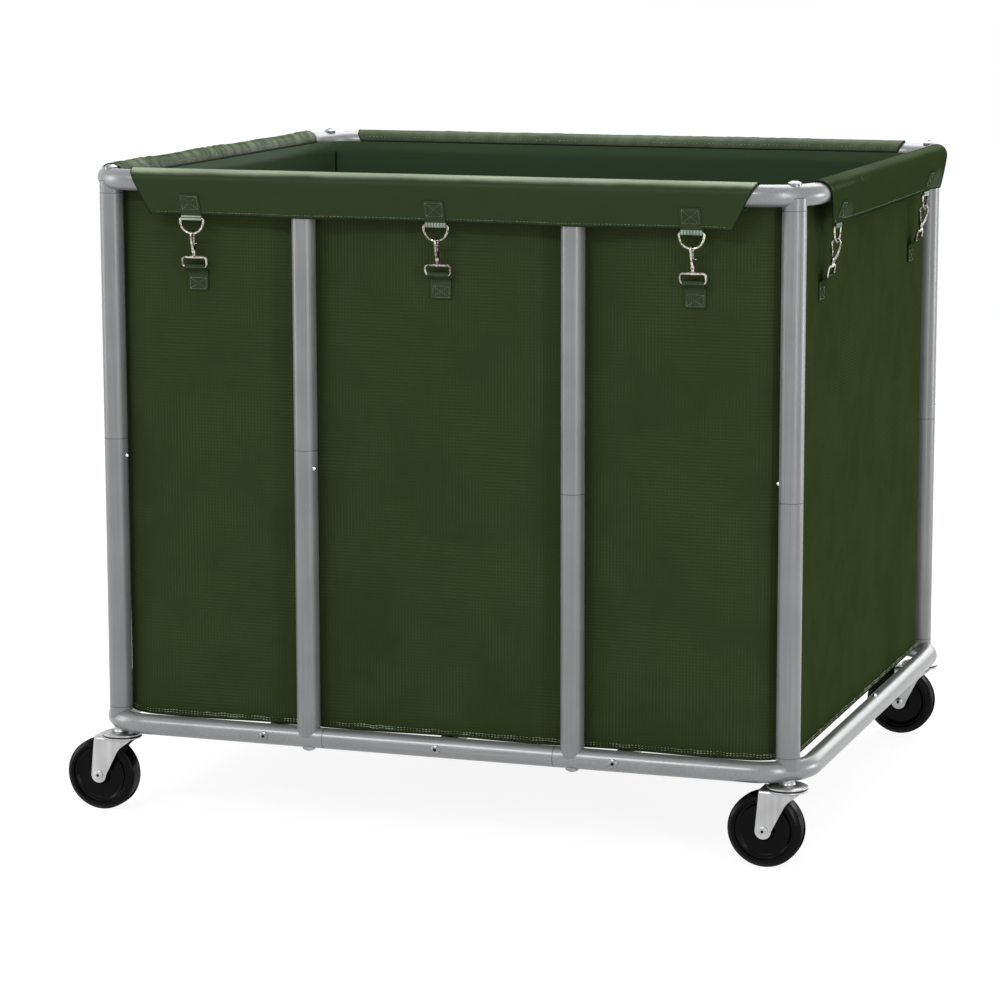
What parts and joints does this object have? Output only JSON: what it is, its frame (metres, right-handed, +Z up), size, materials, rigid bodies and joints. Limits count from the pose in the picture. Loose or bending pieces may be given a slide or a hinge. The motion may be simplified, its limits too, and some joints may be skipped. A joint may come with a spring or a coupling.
{
  "type": "laundry cart",
  "caption": "Bulk laundry cart: a fabric bag hangs by snap hooks in a tube frame of two rings and upright posts, on swivel casters.",
  "frame": {"origin": "on the floor, at the middle of the footprint's bounding box", "axes": "+X along the length, +Y towards the back, +Z up; the front long side faces -Y"},
  "size_m": [1.076, 0.8866, 0.9043],
  "materials": {
    "frame_tube": "satin",
    "bolt_steel": "satin",
    "caster_steel": "bright zinc plate",
    "bearing_steel": "polished",
    "axle_steel": "zinc plate",
    "wheel_rubber": "moulded, slightly glossy",
    "bag_fabric": "coated canvas",
    "webbing": "woven",
    "hook_metal": "nickel plate",
    "button_steel": "plated"
  },
  "bodies": {
    "frame": {"top_corner_front_left": "frame_tube", "top_corner_front_right": "frame_tube", "top_corner_back_left": "frame_tube", "top_corner_back_right": "frame_tube", "bottom_corner_front_left": "frame_tube", "bottom_corner_front_right": "frame_tube", "bottom_corner_back_left": "frame_tube", "bottom_corner_back_right": "frame_tube", "middle_tubes": "frame_tube", "post_front_left": "frame_tube", "post_front_mid_left": "frame_tube", "post_front_mid_right": "frame_tube", "post_front_right": "frame_tube", "post_back_left": "frame_tube", "post_back_mid_left": "frame_tube", "post_back_mid_right": "frame_tube", "post_back_right": "frame_tube", "cross_tubes": "frame_tube", "frame_fasteners": "bolt_steel", "caster_stems": "caster_steel", "swivel_bearings": "bearing_steel", "bag_body": "bag_fabric", "bag_flaps": "bag_fabric", "webbing_tabs": "webbing", "d_rings": "hook_metal", "snap_hooks": "hook_metal"},
    "caster_front_left": {"caster_fork_front_left": "caster_steel", "caster_axle_front_left": "axle_steel"},
    "wheel_front_left": {"wheel_front_left": "wheel_rubber"},
    "caster_front_right": {"caster_fork_front_right": "caster_steel", "caster_axle_front_right": "axle_steel"},
    "wheel_front_right": {"wheel_front_right": "wheel_rubber"},
    "caster_back_left": {"caster_fork_back_left": "caster_steel", "caster_axle_back_left": "axle_steel"},
    "wheel_back_left": {"wheel_back_left": "wheel_rubber"},
    "caster_back_right": {"caster_fork_back_right": "caster_steel", "caster_axle_back_right": "axle_steel"},
    "wheel_back_right": {"wheel_back_right": "wheel_rubber"},
    "button_front_left": {"button_front_left": "button_steel"},
    "button_front_mid_left": {"button_front_mid_left": "button_steel"},
    "button_front_mid_right": {"button_front_mid_right": "button_steel"},
    "button_front_right": {"button_front_right": "button_steel"},
    "button_back_left": {"button_back_left": "button_steel"},
    "button_back_mid_left": {"button_back_mid_left": "button_steel"},
    "button_back_mid_right": {"button_back_mid_right": "button_steel"},
    "button_back_right": {"button_back_right": "button_steel"},
    "button_rail_top_left": {"button_rail_top_left": "button_steel"},
    "button_rail_top_right": {"button_rail_top_right": "button_steel"},
    "button_rail_bottom_left": {"button_rail_bottom_left": "button_steel"},
    "button_rail_bottom_right": {"button_rail_bottom_right": "button_steel"},
    "trigger_front_left": {"trigger_front_left": "hook_metal"},
    "trigger_front_middle": {"trigger_front_middle": "hook_metal"},
    "trigger_front_right": {"trigger_front_right": "hook_metal"},
    "trigger_right_front": {"trigger_right_front": "hook_metal"},
    "trigger_right_back": {"trigger_right_back": "hook_metal"},
    "trigger_back_right": {"trigger_back_right": "hook_metal"},
    "trigger_back_middle": {"trigger_back_middle": "hook_metal"},
    "trigger_back_left": {"trigger_back_left": "hook_metal"},
    "trigger_left_back": {"trigger_left_back": "hook_metal"},
    "trigger_left_front": {"trigger_left_front": "hook_metal"}
  },
  "joints": [
    {"name": "swivel_front_left", "type": "hinge", "parent": "frame", "child": "caster_front_left", "pos_m": [-0.459, -0.4045, 0.104], "axis": [0, 0, 1], "continuous": true},
    {"name": "roll_front_left", "type": "hinge", "parent": "caster_front_left", "child": "wheel_front_left", "pos_m": [-0.487, -0.4045, 0.051], "axis": [0, 1, 0], "continuous": true},
    {"name": "swivel_front_right", "type": "hinge", "parent": "frame", "child": "caster_front_right", "pos_m": [0.5, -0.4045, 0.104], "axis": [0, 0, 1], "continuous": true},
    {"name": "roll_front_right", "type": "hinge", "parent": "caster_front_right", "child": "wheel_front_right", "pos_m": [0.47199, -0.4045, 0.051], "axis": [0, 1, 0], "continuous": true},
    {"name": "swivel_back_left", "type": "hinge", "parent": "frame", "child": "caster_back_left", "pos_m": [-0.459, 0.4045, 0.104], "axis": [0, 0, 1], "continuous": true},
    {"name": "roll_back_left", "type": "hinge", "parent": "caster_back_left", "child": "wheel_back_left", "pos_m": [-0.487, 0.4045, 0.051], "axis": [0, 1, 0], "continuous": true},
    {"name": "swivel_back_right", "type": "hinge", "parent": "frame", "child": "caster_back_right", "pos_m": [0.5, 0.4045, 0.104], "axis": [0, 0, 1], "continuous": true},
    {"name": "roll_back_right", "type": "hinge", "parent": "caster_back_right", "child": "wheel_back_right", "pos_m": [0.47199, 0.4045, 0.051], "axis": [0, 1, 0], "continuous": true},
    {"name": "press_front_left", "type": "slide", "parent": "frame", "child": "button_front_left", "axis": [-1, 0, 0], "range_m": [0, 0.004], "stiffness_N_per_m": 800, "springref_m": -0.003},
    {"name": "press_front_mid_left", "type": "slide", "parent": "frame", "child": "button_front_mid_left", "axis": [-0.9063, 0.4226, 0], "range_m": [0, 0.004], "stiffness_N_per_m": 800, "springref_m": -0.003},
    {"name": "press_front_mid_right", "type": "slide", "parent": "frame", "child": "button_front_mid_right", "axis": [0.866, -0.5, 0], "range_m": [0, 0.004], "stiffness_N_per_m": 800, "springref_m": -0.003},
    {"name": "press_front_right", "type": "slide", "parent": "frame", "child": "button_front_right", "axis": [0.9962, 0.0872, 0], "range_m": [0, 0.004], "stiffness_N_per_m": 800, "springref_m": -0.003},
    {"name": "press_back_left", "type": "slide", "parent": "frame", "child": "button_back_left", "axis": [1, 0, 0], "range_m": [0, 0.004], "stiffness_N_per_m": 800, "springref_m": -0.003},
    {"name": "press_back_mid_left", "type": "slide", "parent": "frame", "child": "button_back_mid_left", "axis": [0.9063, -0.4226, 0], "range_m": [0, 0.004], "stiffness_N_per_m": 800, "springref_m": -0.003},
    {"name": "press_back_mid_right", "type": "slide", "parent": "frame", "child": "button_back_mid_right", "axis": [-0.866, 0.5, 0], "range_m": [0, 0.004], "stiffness_N_per_m": 800, "springref_m": -0.003},
    {"name": "press_back_right", "type": "slide", "parent": "frame", "child": "button_back_right", "axis": [-0.9962, -0.0872, 0], "range_m": [0, 0.004], "stiffness_N_per_m": 800, "springref_m": -0.003},
    {"name": "press_rail_top_left", "type": "slide", "parent": "frame", "child": "button_rail_top_left", "axis": [0, 0, 1], "range_m": [0, 0.004], "stiffness_N_per_m": 800, "springref_m": -0.003},
    {"name": "press_rail_top_right", "type": "slide", "parent": "frame", "child": "button_rail_top_right", "axis": [0, 0, 1], "range_m": [0, 0.004], "stiffness_N_per_m": 800, "springref_m": -0.003},
    {"name": "press_rail_bottom_left", "type": "slide", "parent": "frame", "child": "button_rail_bottom_left", "axis": [0, 0, -1], "range_m": [0, 0.004], "stiffness_N_per_m": 800, "springref_m": -0.003},
    {"name": "press_rail_bottom_right", "type": "slide", "parent": "frame", "child": "button_rail_bottom_right", "axis": [0, 0, -1], "range_m": [0, 0.004], "stiffness_N_per_m": 800, "springref_m": -0.003},
    {"name": "open_front_left", "type": "hinge", "parent": "frame", "child": "trigger_front_left", "pos_m": [-0.3295, -0.42109, 0.79242], "axis": [1, 0, 0], "range_deg": [0, 18], "stiffness_Nm_per_rad": 0.05, "springref_deg": -11.46},
    {"name": "open_front_middle", "type": "hinge", "parent": "frame", "child": "trigger_front_middle", "pos_m": [0.0205, -0.42109, 0.79242], "axis": [1, 0, 0], "range_deg": [0, 18], "stiffness_Nm_per_rad": 0.05, "springref_deg": -11.46},
    {"name": "open_front_right", "type": "hinge", "parent": "frame", "child": "trigger_front_right", "pos_m": [0.3705, -0.42109, 0.79242], "axis": [1, 0, 0], "range_deg": [0, 18], "stiffness_Nm_per_rad": 0.05, "springref_deg": -11.46},
    {"name": "open_right_front", "type": "hinge", "parent": "frame", "child": "trigger_right_front", "pos_m": [0.51659, -0.27, 0.79242], "axis": [0, 1, 0], "range_deg": [0, 18], "stiffness_Nm_per_rad": 0.05, "springref_deg": -11.46},
    {"name": "open_right_back", "type": "hinge", "parent": "frame", "child": "trigger_right_back", "pos_m": [0.51659, 0.27, 0.79242], "axis": [0, 1, 0], "range_deg": [0, 18], "stiffness_Nm_per_rad": 0.05, "springref_deg": -11.46},
    {"name": "open_back_right", "type": "hinge", "parent": "frame", "child": "trigger_back_right", "pos_m": [0.3705, 0.42109, 0.79242], "axis": [-1, 0, 0], "range_deg": [0, 18], "stiffness_Nm_per_rad": 0.05, "springref_deg": -11.46},
    {"name": "open_back_middle", "type": "hinge", "parent": "frame", "child": "trigger_back_middle", "pos_m": [0.0205, 0.42109, 0.79242], "axis": [-1, 0, 0], "range_deg": [0, 18], "stiffness_Nm_per_rad": 0.05, "springref_deg": -11.46},
    {"name": "open_back_left", "type": "hinge", "parent": "frame", "child": "trigger_back_left", "pos_m": [-0.3295, 0.42109, 0.79242], "axis": [-1, 0, 0], "range_deg": [0, 18], "stiffness_Nm_per_rad": 0.05, "springref_deg": -11.46},
    {"name": "open_left_back", "type": "hinge", "parent": "frame", "child": "trigger_left_back", "pos_m": [-0.47559, 0.27, 0.79242], "axis": [0, -1, 0], "range_deg": [0, 18], "stiffness_Nm_per_rad": 0.05, "springref_deg": -11.46},
    {"name": "open_left_front", "type": "hinge", "parent": "frame", "child": "trigger_left_front", "pos_m": [-0.47559, -0.27, 0.79242], "axis": [0, -1, 0], "range_deg": [0, 18], "stiffness_Nm_per_rad": 0.05, "springref_deg": -11.46}
  ]
}
